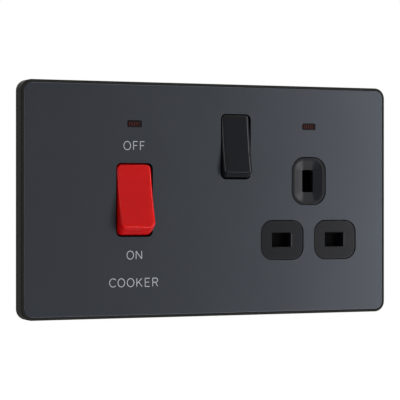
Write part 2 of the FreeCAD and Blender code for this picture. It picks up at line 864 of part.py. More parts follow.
def live_contact():
    """Live clip of the socket with its strip and the knife edge of the socket switch."""
    x = socket_x + pin_side
    y0, y1 = socket_strip_y, socket_strip_y + link_thickness
    leg_right = socket_leg_left + socket_leg_width
    low = switch_z - socket_strip_height / 2
    high = switch_z + socket_strip_height / 2
    left = switch_x - switch_arm_width / 2
    outline = [(left, low), (socket_leg_left, low), (socket_leg_left, socket_z - leaf_gap / 2),
               (x + line_leaf_width / 2, socket_z - leaf_gap / 2),
               (x + line_leaf_width / 2, socket_z + leaf_gap / 2),
               (leg_right, socket_z + leaf_gap / 2), (leg_right, high), (left, high)]
    bridge = box(x - line_leaf_width / 2, x + line_leaf_width / 2,
                 line_leaf_rear + leaf_thickness / 2 - weld, y0,
                 socket_z - leaf_gap / 2, socket_z + leaf_gap / 2)
    post = knife_post(switch_x, switch_knife_y, switch_z, switch_arm_width, y0)
    return fuse(line_clip(x), bridge, plate_y(outline, y0, y1), post)


def earth_contact():
    """Earth clip of the socket with the strip that runs to the earth terminal."""
    half = leaf_gap / 2 + leaf_thickness / 2
    path = [(socket_x + half + leaf_flare, earth_leaf_front - leaf_flare),
            (socket_x + half, earth_leaf_front), (socket_x + half, earth_leaf_rear),
            (socket_x - half, earth_leaf_rear), (socket_x - half, earth_leaf_front),
            (socket_x - half - leaf_flare, earth_leaf_front - leaf_flare)]
    low = earth_z - earth_leaf_width / 2
    outline = ribbon(path, leaf_thickness)
    wire = Part.makePolygon([Vector(x, y, low) for x, y in outline + outline[:1]])
    clip = Part.Face(wire).extrude(Vector(0, 0, earth_leaf_width))
    y0, y1 = earth_strip_y, earth_strip_y + link_thickness
    bridge = box(socket_x - leaf_gap / 2, socket_x + leaf_gap / 2,
                 earth_leaf_rear + leaf_thickness / 2 - weld, y0, low, low + earth_leaf_width)
    bottom = earth_block_bottom
    strip_top = bottom + earth_strip_height
    left = earth_block_x - earth_block_width / 2
    leg_left, leg_right = socket_x - earth_leg_width / 2, socket_x + earth_leg_width / 2
    strip = plate_y([(left, bottom), (leg_right, bottom), (leg_right, low + earth_leaf_width),
                     (leg_left, low + earth_leaf_width), (leg_left, strip_top),
                     (left, strip_top)], y0, y1)
    return fuse(clip, bridge, strip)


def earth_clamp_z():
    return earth_block_bottom + earth_strip_height + earth_clamp_r + earth_clamp_rise


def earth_cable_places():
    return [earth_block_x + side * earth_cable_side for side in (-1, 1)]


def earth_terminal():
    half = earth_block_width / 2
    top = earth_block_bottom + earth_block_height
    block = box(earth_block_x - half, earth_block_x + half, earth_block_front, earth_strip_y,
                earth_block_bottom, top)
    holes = []
    for x in earth_cable_places():
        holes.append(rod_z(x, cable_y, earth_block_bottom - over, top + over, earth_cable_r))
        holes.append(rod_y(x, cable_y, earth_strip_y + over, earth_clamp_z(),
                           earth_clamp_r + thread_play))
    return cut(block, *holes)


def earth_screws():
    tip = cable_y + earth_cable_r + clamp_tip_gap
    return Part.makeCompound([clamp_screw(x, earth_clamp_z(), earth_clamp_r, tip)
                              for x in earth_cable_places()])


# Socket insert with the three bosses, its shutter and the shutter's retainer

def insert_pockets():
    """Room for the shutter behind the front wall of the insert."""
    y0, y1 = shutter_front - shutter_gap / 2, insert_rear + over
    half = insert_side - insert_wall
    stem = insert_neck - insert_wall
    top = insert_top - insert_wall
    lower = box(socket_x - half, socket_x + half, y0, y1,
                insert_bottom + insert_wall, insert_shoulder - insert_wall)
    upper = box(socket_x - stem, socket_x + stem, y0, y1, insert_bottom + insert_wall, top)
    return [lower, upper]


def aperture(x, z, size):
    """A pin aperture through the front with a chamfered lead-in."""
    w, h = size
    way = slab(x, z, w, h, aperture_corner, face_y - over, insert_rear + over)
    c = aperture_chamfer
    lead = taper_slab(x, z, (w + 4 * c, h + 4 * c, aperture_corner + 2 * c),
                      (w, h, aperture_corner), boss_face - c, boss_face + c)
    return [way, lead]


def earth_dish():
    """The bowl round the earth aperture, steepest at its lip."""
    lip = [v - 2 * earth_dish_rim for v in earth_boss[:2]] + [earth_boss[2] - earth_dish_rim]
    foot = list(earth_aperture) + [earth_dish_foot_corner]
    sections = []
    for k in range(earth_dish_steps + 1):
        share = k / earth_dish_steps
        turn = math.radians(earth_dish_turn)
        depth = earth_dish_depth * math.sin(share * turn) / math.sin(turn)
        width, height, corner = (a + (b - a) * share for a, b in zip(lip, foot))
        sections.append(rounded_wire(socket_x, earth_z, width, height, corner, boss_face + depth))
    bowl = Part.makeLoft(sections, True, False)
    lead = rounded_wire(socket_x, earth_z, lip[0], lip[1], lip[2], boss_face)
    return bowl.fuse(Part.Face(lead).extrude(Vector(0, -over, 0)))


def socket_insert():
    body = plate_y(insert_outline(0), web_back, insert_rear)
    bosses = []
    for boss in boss_bodies(boss_face, web_back, 0):
        rim = edges_where(boss, lambda e: e.BoundBox.YMax < boss_face + tiny)
        bosses.append(boss.makeFillet(boss_edge_round, rim))
    body = fuse(body, *bosses)
    barbs = []
    barb_y = chassis_back + fit_gap / 2
    for x in (socket_x - pin_side, socket_x + pin_side):
        outline = [(barb_y, insert_bottom), (barb_y, insert_bottom - insert_barb),
                   (barb_y + insert_barb_height, insert_bottom)]
        barbs.append(prism_x(outline, x - insert_barb_half, x + insert_barb_half))
    body = fuse(body, *barbs)
    cuts = insert_pockets()
    for side in (-1, 1):
        cuts += aperture(socket_x + side * pin_side, socket_z, line_aperture)
    w, h = earth_aperture
    cuts.append(slab(socket_x, earth_z, w, h, aperture_corner, face_y - over, insert_rear + over))
    cuts.append(earth_dish())
    body = cut(body, *cuts)
    peg_z = shutter_window_bottom + fit_gap
    peg = box(socket_x - spring_peg_half, socket_x + spring_peg_half,
              web_back + socket_front_wall - weld, insert_rear - 2 * fit_gap,
              peg_z, peg_z + spring_peg_height)
    return fuse(body, peg)


def shutter():
    """Plate over both line apertures, with the ramp that the earth pin pushes down."""
    half = pin_side + line_aperture[0] / 2 + shutter_overlap
    z0 = socket_z - line_aperture[1] / 2 - shutter_overlap
    z1 = socket_z + line_aperture[1] / 2 + shutter_overlap
    blade = box(socket_x - half, socket_x + half, shutter_front, shutter_back, z0, z1)
    pin_low = earth_z - earth_pin[1] / 2
    crest = pin_low + shutter_travel
    stem = box(socket_x - shutter_stem_half, socket_x + shutter_stem_half, shutter_front,
               shutter_front + shutter_stem_depth, z0, pin_low - ramp_lead)
    rear = ramp_start + shutter_travel
    land = rear + ramp_back_land
    foot = pin_low - ramp_web
    ramp = prism_x([(shutter_front, foot), (shutter_front, pin_low - ramp_lead),
                    (ramp_start, pin_low - ramp_lead), (rear, crest), (land, crest),
                    (land, pin_low + ramp_web), (ramp_start + 2 * ramp_web, foot)],
                   socket_x - ramp_half, socket_x + ramp_half)
    window = box(socket_x - shutter_window_half, socket_x + shutter_window_half,
                 shutter_front - over, insert_rear + over, shutter_window_bottom,
                 shutter_window_top)
    return cut(fuse(blade, stem, ramp), window)


def shutter_spring():
    low = shutter_window_bottom + fit_gap + spring_peg_height + spring_wire_r
    length = shutter_window_top - low - spring_wire_r - fit_gap
    spring = coil(shutter_spring_r, length, shutter_spring_turns)
    spring.translate(Vector(socket_x, shutter_spring_y, low))
    return spring


def shutter_retainer():
    y0, y1 = insert_rear, insert_rear + retainer_thickness
    plate = plate_y(insert_outline(-retainer_inset), y0, y1)
    pads = []
    for side in (-1, 1):
        x = socket_x + side * retainer_pad_side
        pads.append(box(x - retainer_pad_half, x + retainer_pad_half, shutter_back + shutter_gap,
                        y0 + weld, insert_bottom + insert_wall + retainer_inset,
                        insert_shoulder - insert_wall - retainer_inset))
    plate = fuse(plate, *pads)
    slot_low = earth_z - earth_pin[1] / 2 - shutter_travel - retainer_slot_room
    slot_high = earth_z + earth_aperture[1] / 2
    slot = box(socket_x - earth_aperture[0] / 2, socket_x + earth_aperture[0] / 2, y0 - over,
               y1 + over, slot_low, slot_high)
    ways = [slab(socket_x + side * pin_side, socket_z, line_aperture[0], line_aperture[1],
                 aperture_corner, y0 - over, y1 + over) for side in (-1, 1)]
    return cut(plate, slot, *ways)


# Rear cover

def cover_outline(inset):
    left, right = cover_left + inset, cover_right - inset
    bottom, top = cover_bottom + inset, cover_top - inset
    wing_right, wing_top = cover_wing_right - inset, cover_wing_top - inset
    return [(left, bottom), (wing_right, bottom), (wing_right, wing_top), (right, wing_top),
            (right, top), (left, top)]


def rounded_outline(inset, y0, y1):
    """The cover's outline as a body with rounded upright corners."""
    body = plate_y(cover_outline(inset), y0, y1)
    upright = edges_where(body, lambda e: e.BoundBox.YLength > abs(y1 - y0) - tiny)
    return body.makeFillet(cover_corner - inset, upright)


def bay_cuts():
    """Room for each cable terminal, open to the rear and to the cable's side."""
    cuts = []
    strip_y = button_seat(cooker_knife_y, cooker_arm_length, cooker_arm_tilt)
    for end in (-1, 1):
        low, high = block_span(end)
        for _, arm_x, block_x, _ in pole_places():
            reach = block_width / 2 + bay_play
            z0 = low - bay_play if end > 0 else cover_bottom - over
            z1 = cover_top + over if end > 0 else high + bay_play
            cuts.append(box(block_x - reach, block_x + reach, block_front, cover_depth + over, z0, z1))
            slot = arm_width / 2 + bay_play
            s0, s1 = sorted((cooker_z, cooker_z + end * (block_inner_z + over)))
            cuts.append(box(arm_x - slot, arm_x + slot, strip_y - strip_slot_room,
                            strip_y + strip_thickness + bay_play, s0, s1))
    return cuts


def bay_inner():
    """Distance from the middle of the cooker switch to the walls of its cable bays."""
    return block_inner_z - bay_play - bay_wall


def pole_barrier():
    """Insulating card between the two poles, standing in grooves of the rear cover."""
    half, reach = barrier_thickness / 2, bay_inner() + barrier_seat
    return box(cooker_x - half, cooker_x + half, barrier_front, cover_inner,
               cooker_z - reach, cooker_z + reach)


def barrier_grooves():
    half = barrier_thickness / 2 + barrier_play
    reach = bay_inner() + barrier_seat + barrier_play
    return box(cooker_x - half, cooker_x + half, chassis_back, cover_inner,
               cooker_z - reach, cooker_z + reach)


def strip_ways():
    """Clear ways for the neutral and live legs past the pillars and the bay walls."""
    low = socket_z - leaf_gap / 2 - bay_play
    ways = []
    for left, width, y0, top in (
            (neutral_leg_left, neutral_leg_width, line_leaf_rear + leaf_thickness / 2,
             neutral_link_bottom + neutral_link_height),
            (socket_leg_left, socket_leg_width, socket_strip_y,
             switch_z + socket_strip_height / 2)):
        ways.append(box(left - bay_play, left + width + bay_play, y0 - bay_play,
                        y0 + link_thickness + bay_play, low, top + bay_play))
    return ways


def earth_bay_cut():
    reach = earth_block_width / 2 + bay_play
    top = earth_block_bottom + earth_block_height + bay_play
    return box(earth_block_x - reach, earth_block_x + reach, earth_block_front,
               cover_depth + over, cover_bottom - over, top)


def rear_cover():
    shell = rounded_outline(0, chassis_back, cover_depth)
    rear = edges_where(shell, lambda e: e.BoundBox.YMin > cover_depth - tiny)
    shell = shell.makeFillet(cover_edge_round, rear)
    shell = cut(shell, rounded_outline(cover_wall, chassis_back - over, cover_inner))
    zone_left = cooker_x - block_side - block_width / 2 - bay_play - bay_wall
    zone_right = cooker_x + block_side + block_width / 2 + bay_play + bay_wall
    zone_inner = bay_inner()
    front = block_front - bay_floor
    top_zone = box(zone_left, zone_right, front, cover_inner + root,
                   cooker_z + zone_inner, cover_top - cover_wall / 2)
    low_zone = box(zone_left, zone_right, front, cover_inner + root,
                   cover_bottom + cover_wall / 2, cooker_z - zone_inner)
    half = earth_block_width / 2 + bay_play + bay_wall
    earth_top = earth_block_bottom + earth_block_height + bay_play + bay_wall
    earth_zone = box(earth_block_x - half, earth_block_x + half, earth_block_front - bay_floor,
                     cover_inner + root, cover_bottom + cover_wall / 2, earth_top)
    pillars = [rod_y(x, post_top + pillar_gap, cover_inner + root, z, pillar_r)
               for x, z in assembly_places]
    body = fuse(shell, top_zone, low_zone, earth_zone, *pillars)
    cuts = bay_cuts() + [earth_bay_cut(), barrier_grooves()] + strip_ways()
    for x, z in assembly_places:
        cuts.append(rod_y(x, post_top - over, cover_depth + over, z,
                          assembly_screw_r + pillar_bore_play))
        cuts.append(rod_y(x, cover_depth - pillar_head_depth, cover_depth + over, z,
                          pillar_head_r))
    y0 = button_seat(switch_knife_y, switch_arm_length, switch_arm_tilt) - bay_play
    y1 = y0 + link_thickness + 2 * bay_play
    block_x = pole_places()[0][2]
    cuts.append(box(block_x, switch_x, y0, y1, live_link_bottom - bay_play,
                    live_link_bottom + live_link_height + bay_play))
    y0 = line_leaf_rear + leaf_thickness / 2 - bay_play
    cuts.append(box(pole_places()[1][2], switch_x, y0, y0 + link_thickness + 2 * bay_play,
                    neutral_link_bottom - bay_play,
                    neutral_link_bottom + neutral_link_height + bay_play))
    cuts.append(box(earth_block_x, earth_block_x + half + over, earth_strip_y - bay_play,
                    earth_strip_y + link_thickness + bay_play, earth_block_bottom - bay_play,
                    earth_block_bottom + earth_strip_height + bay_play))
    return cut(body, *cuts)


def assembly_screws():
    seat = cover_depth - pillar_head_depth
    screws = []
    for x, z in assembly_places:
        shank = rod_y(x, seat - assembly_screw_length, seat + weld, z, assembly_screw_r)
        head = rod_y(x, seat, seat + assembly_head_height, z, assembly_head_r)
        screws.append(fuse(shank, head))
    return Part.makeCompound(screws)


# Neon indicators

def neon_lens(x):
    gap = neon_lens_play
    front = slab(x, neon_z, neon_window[0] - 2 * gap, neon_window[1] - 2 * gap,
                 neon_window_corner, face_y + neon_lens_setback, web_back + weld)
    flange = slab(x, neon_z, neon_flange[0], neon_flange[1], neon_window_corner, web_back,
                  web_back + neon_flange_thickness)
    return fuse(front, flange)


def neon_lamp(x):
    bulb = rod_x(x - lamp_length / 2, x + lamp_length / 2, lamp_y, neon_z, lamp_r)
    ends = edges_where(bulb, lambda e: e.BoundBox.XLength < tiny)
    return bulb.makeFillet(lamp_end_round, ends)


# Screws that go into the wall box

def fixing_screws():
    screws = []
    for side in (-1, 1):
        x = side * fixing_centres / 2
        seat = -fixing_seat
        head = rod_y(x, seat - fixing_head_height, seat, 0, fixing_head_r)
        rim = edges_where(head, lambda e: e.BoundBox.YMax < seat - fixing_head_height + tiny)
        head = head.makeFillet(fixing_head_round, rim)
        neck = rod_y(x, seat - weld, seat + fixing_neck_length, 0, fixing_neck_r)
        thread = rod_y(x, seat + fixing_neck_length, fixing_screw_reach, 0, fixing_screw_r)
        top = seat - fixing_head_height
        slot = box(x - fixing_head_r - over, x + fixing_head_r + over, top - over,
                   top + fixing_slot_depth, -fixing_slot / 2, fixing_slot / 2)
        screws.append(cut(fuse(head, neck, thread), slot))
    return Part.makeCompound(screws)


def all_nodes():
    poles = {"live": -1, "neutral": 1}
    nodes = {
        "front_plate": front_plate(),
        "plate_carrier": plate_carrier(),
        "chassis": chassis(),
        "socket_insert": socket_insert(),
        "rear_cover": rear_cover(),
        "pole_barrier": pole_barrier(),
        "shutter": shutter(),
        "shutter_spring": shutter_spring(),
        "shutter_retainer": shutter_retainer(),
        "terminal_screws": terminal_screws(),
        "live_link": live_link(),
        "live_contact": live_contact(),
        "neutral_contact": neutral_contact(),
        "earth_contact": earth_contact(),
        "earth_terminal": earth_terminal(),
        "earth_screws": earth_screws(),
        "assembly_screws": assembly_screws(),
        "fixing_screws": fixing_screws(),
        "cooker_neon_lens": neon_lens(neon_places[0]),
        "socket_neon_lens": neon_lens(neon_places[1]),
        "cooker_neon_lamp": neon_lamp(neon_places[0]),
        "socket_neon_lamp": neon_lamp(neon_places[1]),
    }
    plungers = [px for _, _, _, px in pole_places()]
    nodes["cooker_rocker"] = rocker(cooker_x, cooker_pivot_y, cooker_z, cooker_rocker_width,
                                    cooker_end_r, cooker_half_angle, cooker_dish,
                                    (cooker_corner_round, cooker_edge_round), cooker_tilt,
                                    plungers)
    nodes["socket_rocker"] = rocker(switch_x, switch_pivot_y, switch_z, switch_rocker_width,
                                    switch_end_r, switch_half_angle, switch_dish,
                                    (switch_corner_round, switch_edge_round), switch_tilt,
                                    [switch_x])
    nodes["socket_plunger"] = plunger(switch_x, switch_pivot_y, switch_z, switch_plunger_reach,
                                      switch_tilt)
    nodes["socket_spring"] = plunger_spring(switch_x, switch_pivot_y, switch_z, switch_tilt)
    nodes["socket_arm"] = arm(switch_x, switch_knife_y, switch_z, switch_arm_width,
                              switch_arm_length, switch_arm_tilt)
    for name, side in poles.items():
        _, arm_x, _, plunger_x = pole_places()[(side + 1) // 2]
        nodes[name + "_plunger"] = plunger(plunger_x, cooker_pivot_y, cooker_z,
                                           cooker_plunger_reach, cooker_tilt)
        nodes[name + "_spring"] = plunger_spring(plunger_x, cooker_pivot_y, cooker_z, cooker_tilt)
        nodes[name + "_arm"] = arm(arm_x, cooker_knife_y, cooker_z, arm_width,
                                   cooker_arm_length, cooker_arm_tilt)
        nodes["supply_" + name + "_terminal"] = supply_terminal(side)
        nodes["load_" + name + "_terminal"] = load_terminal(side)
    return nodes


os.makedirs("parts", exist_ok=True)
for name, shape in all_nodes().items():
    shape.exportStep("parts/" + name + ".step")
    print(name, len(shape.Solids), round(shape.Volume, 1), shape.isValid())
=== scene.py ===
# Cooker control unit: rocker switch, switched socket outlet and two neon windows
# in a satin grey plate
import bpy, bmesh
import json
import math
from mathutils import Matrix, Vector


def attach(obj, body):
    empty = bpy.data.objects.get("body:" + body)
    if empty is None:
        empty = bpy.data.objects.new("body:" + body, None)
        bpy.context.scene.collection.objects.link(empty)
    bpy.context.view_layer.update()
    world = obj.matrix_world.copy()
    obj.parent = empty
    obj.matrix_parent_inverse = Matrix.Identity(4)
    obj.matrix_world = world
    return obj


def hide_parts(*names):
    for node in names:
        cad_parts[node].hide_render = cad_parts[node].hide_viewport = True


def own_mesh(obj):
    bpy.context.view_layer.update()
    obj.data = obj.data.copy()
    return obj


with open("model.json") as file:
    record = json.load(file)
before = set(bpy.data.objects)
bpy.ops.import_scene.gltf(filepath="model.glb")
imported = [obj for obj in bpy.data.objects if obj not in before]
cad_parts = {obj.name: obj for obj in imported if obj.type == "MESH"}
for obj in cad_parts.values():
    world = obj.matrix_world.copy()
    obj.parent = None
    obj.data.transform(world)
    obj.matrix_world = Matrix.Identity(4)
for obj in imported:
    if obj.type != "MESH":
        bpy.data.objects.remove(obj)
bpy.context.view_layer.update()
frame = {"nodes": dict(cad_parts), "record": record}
nodes = frame["nodes"]
slotOf = {part["node"]: part["material_slot"] for part in frame["record"]["subparts"]}
mm = 0.001
plateFace = -6.8      # front of the plate in millimetres
print("frame loaded:", len(nodes), "nodes")


# materials: every finish is a Principled shader with its own tone, grain and roughness,
# and some have wear along their edges

surface = {      # what a finish has where its own look says nothing else
    "ior": 1.5,
    "noiseRoughness": 0.55,
    "noiseRange": (0.3, 0.7),      # the part of a noise field that is spread over a range
    "seedTurn": 0.7,               # how a seed moves the field sideways
    "cloudScale": 90,
    "cloudDetail": 3,
    "cloudSeed": 1.0,
    "cloud": 0.05,
    "grainScale": 3000,
    "grainDetail": 3,
    "bump": 0.1,
    "relief": 0.02,
    "wearWidth": 0.25,
    "wearAngle": (0.995, 0.85),    # how far a rounded normal leaves the face, as a cosine
    "wearSamples": 4,
    "wornLift": (2, 0.05),         # the worn colour is this many times the plain one, plus this
    "rubScale": 700,
    "rubDetail": 4,
    "rubSeed": 5.0,
    "rubRange": (0.4, 0.65),
}


def node(tree, kind, **values):
    made = tree.nodes.new(kind)
    for key, value in values.items():
        if key in made.inputs:
            made.inputs[key].default_value = value
        else:
            setattr(made, key, value)
    return made


def link(tree, a, output, b, entry):
    tree.links.new(a.outputs[output], b.inputs[entry])


def noise(tree, space, scale, detail, stretch=(1, 1, 1), seed=0.0):
    # a noise field in the piece's own metres; stretch turns grain into brushing
    shift = node(tree, "ShaderNodeMapping")
    shift.inputs["Scale"].default_value = stretch
    shift.inputs["Location"].default_value = (seed, seed * surface["seedTurn"], -seed)
    link(tree, space, "Object", shift, "Vector")
    field = node(tree, "ShaderNodeTexNoise", Scale=scale, Detail=detail,
                 Roughness=surface["noiseRoughness"])
    link(tree, shift, "Vector", field, "Vector")
    return field


def spread(tree, source, output, taken, given=(0, 1)):
    # the taken range of a value, spread over the given one
    made = node(tree, "ShaderNodeMapRange")
    made.inputs["From Min"].default_value, made.inputs["From Max"].default_value = taken
    made.inputs["To Min"].default_value, made.inputs["To Max"].default_value = given
    link(tree, source, output, made, "Value")
    return made


def blended(tree, factor, a, b):
    # a colour between two; each is a plain colour or another node's output
    mix = node(tree, "ShaderNodeMix", data_type="RGBA")
    link(tree, factor, 0, mix, "Factor")
    for entry, colour in (("A", a), ("B", b)):
        if isinstance(colour, list):
            mix.inputs[entry].default_value = (*colour, 1)
        else:
            tree.links.new(colour, mix.inputs[entry])
    return mix.outputs["Result"]


def finish(name, look):
    look = {**surface, **look}
    material = bpy.data.materials.new(name)
    material.use_nodes = True
    tree = material.node_tree
    shader = tree.nodes["Principled BSDF"]
    space = node(tree, "ShaderNodeTexCoord")
    shader.inputs["Metallic"].default_value = look.get("metal", 0.0)
    shader.inputs["IOR"].default_value = look["ior"]
    for key in ("Transmission Weight", "Specular IOR Level",
                "Subsurface Weight", "Subsurface Radius", "Subsurface Scale"):
        if key in look:
            shader.inputs[key].default_value = look[key]
    # colour: a broad cloud of tone, and lighter rubbed edges
    cloud = noise(tree, space, look["cloudScale"], look["cloudDetail"], seed=look["cloudSeed"])
    tone = spread(tree, cloud, 0, look["noiseRange"])
    darker = [c * (1 - look["cloud"]) for c in look["colour"]]
    lighter = [min(1, c * (1 + look["cloud"])) for c in look["colour"]]
    colour = blended(tree, tone, darker, lighter)
    if "wear" in look:
        bevel = node(tree, "ShaderNodeBevel", samples=look["wearSamples"],
                     Radius=look["wearWidth"] * mm)
        shape = node(tree, "ShaderNodeNewGeometry")
        dot = node(tree, "ShaderNodeVectorMath", operation="DOT_PRODUCT")
        link(tree, bevel, "Normal", dot, 0)
        link(tree, shape, "Normal", dot, 1)
        edge = spread(tree, dot, "Value", look["wearAngle"])
        rub = noise(tree, space, look["rubScale"], look["rubDetail"], seed=look["rubSeed"])
        patchy = spread(tree, rub, 0, look["rubRange"], (0, look["wear"]))
        amount = node(tree, "ShaderNodeMath", operation="MULTIPLY")
        link(tree, edge, 0, amount, 0)
        link(tree, patchy, 0, amount, 1)
        times, more = look["wornLift"]
        colour = blended(tree, amount, colour, [min(1, c * times + more) for c in look["colour"]])
    tree.links.new(colour, shader.inputs["Base Color"])
    # surface: roughness that varies, and a fine relief
    grain = noise(tree, space, look["grainScale"], look["grainDetail"],
                  look.get("stretch", (1, 1, 1)))
    rough = spread(tree, grain, 0, look["noiseRange"], look["rough"])
    link(tree, rough, 0, shader, "Roughness")
    bump = node(tree, "ShaderNodeBump", Strength=look["bump"], Distance=look["relief"] * mm)
    link(tree, grain, 0, bump, "Height")
    link(tree, bump, "Normal", shader, "Normal")
    return material


looks = {
    "satinGreySheet": {"colour": (0.0245, 0.0273, 0.0323), "metal": 0.9, "rough": (0.28, 0.33),
                       "grainScale": 5200, "bump": 0.12, "relief": 0.012, "cloud": 0.03,
                       "cloudScale": 40, "wear": 0.25, "wearWidth": 0.2},
    "blackMoulding": {"colour": (0.0120, 0.0120, 0.0130), "rough": (0.40, 0.54),
                      "Specular IOR Level": 0.12, "grainScale": 2600, "bump": 0.25,
                      "cloud": 0.08, "wear": 0.2, "wearWidth": 0.3},
    "carrierMoulding": {"colour": (0.0152, 0.0152, 0.0142), "rough": (0.60, 0.74),
                        "Specular IOR Level": 0.03, "grainScale": 2600, "bump": 0.25,
                        "cloud": 0.08, "wear": 0.2, "wearWidth": 0.3},
    "blackInsert": {"colour": (0.0038, 0.0041, 0.0058), "rough": (0.21, 0.26),
                    "Specular IOR Level": 0.13, "grainScale": 3400, "bump": 0.15, "relief": 0.012,
                    "cloud": 0.06, "wear": 0.25, "wearWidth": 0.3},
    "blackShutter": {"colour": (0.0016, 0.0016, 0.0018), "rough": (0.55, 0.7),
                     "Specular IOR Level": 0.02, "bump": 0.2, "cloud": 0.1},
    "whiteMoulding": {"colour": (0.72, 0.71, 0.66), "rough": (0.35, 0.5), "grainScale": 1800,
                      "bump": 0.15, "relief": 0.015, "cloud": 0.03},
    "redGloss": {"colour": (0.43, 0.0025, 0.0028), "rough": (0.09, 0.14),
                 "Specular IOR Level": 0.12, "grainScale": 900, "bump": 0.04, "cloudScale": 60,
                 "Subsurface Weight": 1.0, "Subsurface Radius": (1.0, 0.05, 0.03),
                 "Subsurface Scale": 0.005},
    "blackGloss": {"colour": (0.0036, 0.0039, 0.0056), "rough": (0.12, 0.17),
                   "Specular IOR Level": 0.12, "grainScale": 900, "bump": 0.04,
                   "cloud": 0.08, "cloudScale": 60},
    "brass": {"colour": (0.70, 0.50, 0.22), "metal": 1.0, "rough": (0.22, 0.38),
              "grainScale": 1400, "stretch": (1, 1, 0.15), "bump": 0.12, "relief": 0.015,
              "cloud": 0.1, "cloudScale": 120, "wear": 0.4},
    "springSteel": {"colour": (0.52, 0.52, 0.53), "metal": 1.0, "rough": (0.25, 0.38),
                    "grainScale": 2500, "cloud": 0.08},
    "zincSteel": {"colour": (0.60, 0.61, 0.62), "metal": 1.0, "rough": (0.24, 0.42),
                  "grainScale": 1900, "bump": 0.12, "relief": 0.015, "cloud": 0.1,
                  "cloudScale": 200, "wear": 0.3},
    "redLens": {"colour": (0.024, 0.0045, 0.0040), "rough": (0.22, 0.32),
                "Specular IOR Level": 0.06, "grainScale": 1200, "bump": 0.05, "cloud": 0.06},
    # painted shade: the lens border, dark for the shadow gap round it and for the black carrier
    # seen through it
    "paintedShadeBorder": {"colour": (0.006, 0.0025, 0.0025), "rough": (0.3, 0.4),
                  "Specular IOR Level": 0.1, "grainScale": 1200, "bump": 0.05, "cloud": 0.06},
    "lampGlass": {"colour": (0.85, 0.80, 0.76), "rough": (0.03, 0.06), "grainScale": 800,
                  "bump": 0.02, "Transmission Weight": 0.9},
    "legendInk": {"colour": (0.36, 0.375, 0.42), "rough": (0.45, 0.6),
                  "Specular IOR Level": 0.1, "grainScale": 4000, "cloud": 0.04},
}
finishes = {name: finish(name, look) for name, look in looks.items()}
slotFinish = {"satin_grey_sheet": "satinGreySheet", "black_moulding": "blackMoulding",
              "black_insert": "blackInsert", "white_moulding": "whiteMoulding",
              "red_gloss": "redGloss", "black_gloss": "blackGloss", "brass": "brass",
              "spring_steel": "springSteel", "zinc_steel": "zincSteel",
              "red_lens": "redLens", "lamp_glass": "lampGlass"}
ownFinish = {"shutter": "blackShutter", "shutter_retainer": "blackShutter",
             "plate_carrier": "carrierMoulding"}
for nodeName, slotName in slotOf.items():
    piece = nodes[nodeName]
    piece.data.materials.clear()
    piece.data.materials.append(finishes[ownFinish.get(nodeName, slotFinish[slotName])])
print("finishes made:", len(finishes))


# mesh tools

def keep(drawn, name, finishNames, body, sharp=35):
    # the drawn mesh becomes a piece that rides on a body
    bmesh.ops.recalc_face_normals(drawn, faces=drawn.faces)
    mesh = bpy.data.meshes.new(name)
    drawn.to_mesh(mesh)
    drawn.free()
    mesh.shade_smooth()
    mesh.set_sharp_from_angle(angle=math.radians(sharp))
    for finishName in finishNames:
        mesh.materials.append(finishes[finishName])
    piece = bpy.data.objects.new(name, mesh)
    bpy.context.scene.collection.objects.link(piece)
    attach(piece, body)
    return piece


def loft(drawn, rings, closed=False, slots=()):
    # rings of equal count joined in order; open lofts get an end face on both ends
    made = [[drawn.verts.new(point) for point in ring] for ring in rings]
    pairs = list(zip(made, made[1:])) + ([(made[-1], made[0])] if closed else [])
    for k, (a, b) in enumerate(pairs):
        for i in range(len(a)):
            j = (i + 1) % len(a)
            face = drawn.faces.new((a[i], a[j], b[j], b[i]))
            face.material_index = slots[k] if slots else 0
    if not closed:
        drawn.faces.new(made[0][::-1]).material_index = slots[0] if slots else 0
        drawn.faces.new(made[-1]).material_index = slots[-1] if slots else 0


def roundedLoop(width, height, corner, steps=5):
    loop = []
    for sideX, sideZ, start in ((1, 1, 0), (-1, 1, 90), (-1, -1, 180), (1, -1, 270)):
        for k in range(steps + 1):
            t = math.radians(start + 90 * k / steps)
            loop.append((sideX * (width / 2 - corner) + corner * math.cos(t),
                         sideZ * (height / 2 - corner) + corner * math.sin(t)))
    return loop


def flatRing(loop, x, z, depth):
    # a loop drawn in X and Z at one depth
    return [Vector((x + u, depth, z + v)) * mm for u, v in loop]


def turnedRings(x, z, profile, steps=32):
    # a lathe profile of (depth, radius) about a line along Y
    turns = [2 * math.pi * k / steps for k in range(steps)]
    return [flatRing([(r * math.cos(t), r * math.sin(t)) for t in turns], x, z, depth)
            for depth, r in profile]


threadRidge = {      # shares of the pitch, and millimetres
    "foot": 0.46,
    "crest": 0.09,
    "sunk": 0.05,
    "leastRise": 0.02,
}


def threadRings(x, z, start, end, root, crest, pitch, steps=20):
    # one ridge wound round a shank, fading in and out over its first and last turn
    foot, flat, sunk = threadRidge["foot"], threadRidge["crest"], root - threadRidge["sunk"]
    turns = (end - start) / pitch - 1
    rings = []
    for k in range(int(turns * steps) + 1):
        share = k / steps
        rise = min(1, max(threadRidge["leastRise"], min(share, turns - share)))
        top = root + (crest - root) * rise
        t = 2 * math.pi * share
        depth = start + pitch * (share + 0.5)
        ridge = ((sunk, -foot), (top, -flat), (top, flat), (sunk, foot))
        rings.append([Vector((x + r * math.cos(t), depth + pitch * shift, z + r * math.sin(t))) * mm
                      for r, shift in ridge])
    return rings


def carved(solid, tool):
    # the solid with the tool's volume taken out of it
    made = []
    for drawn in (solid, tool):
        bmesh.ops.recalc_face_normals(drawn, faces=drawn.faces)
        mesh = bpy.data.meshes.new("carving")
        drawn.to_mesh(mesh)
        drawn.free()
        made.append(bpy.data.objects.new("carving", mesh))
        bpy.context.scene.collection.objects.link(made[-1])
    step = made[0].modifiers.new("carve", "BOOLEAN")
    step.operation = "DIFFERENCE"
    step.solver = "EXACT"
    step.object = made[1]
    out = bmesh.new()
    out.from_object(made[0], bpy.context.evaluated_depsgraph_get())
    for thing in made:
        bpy.data.objects.remove(thing)
    return out
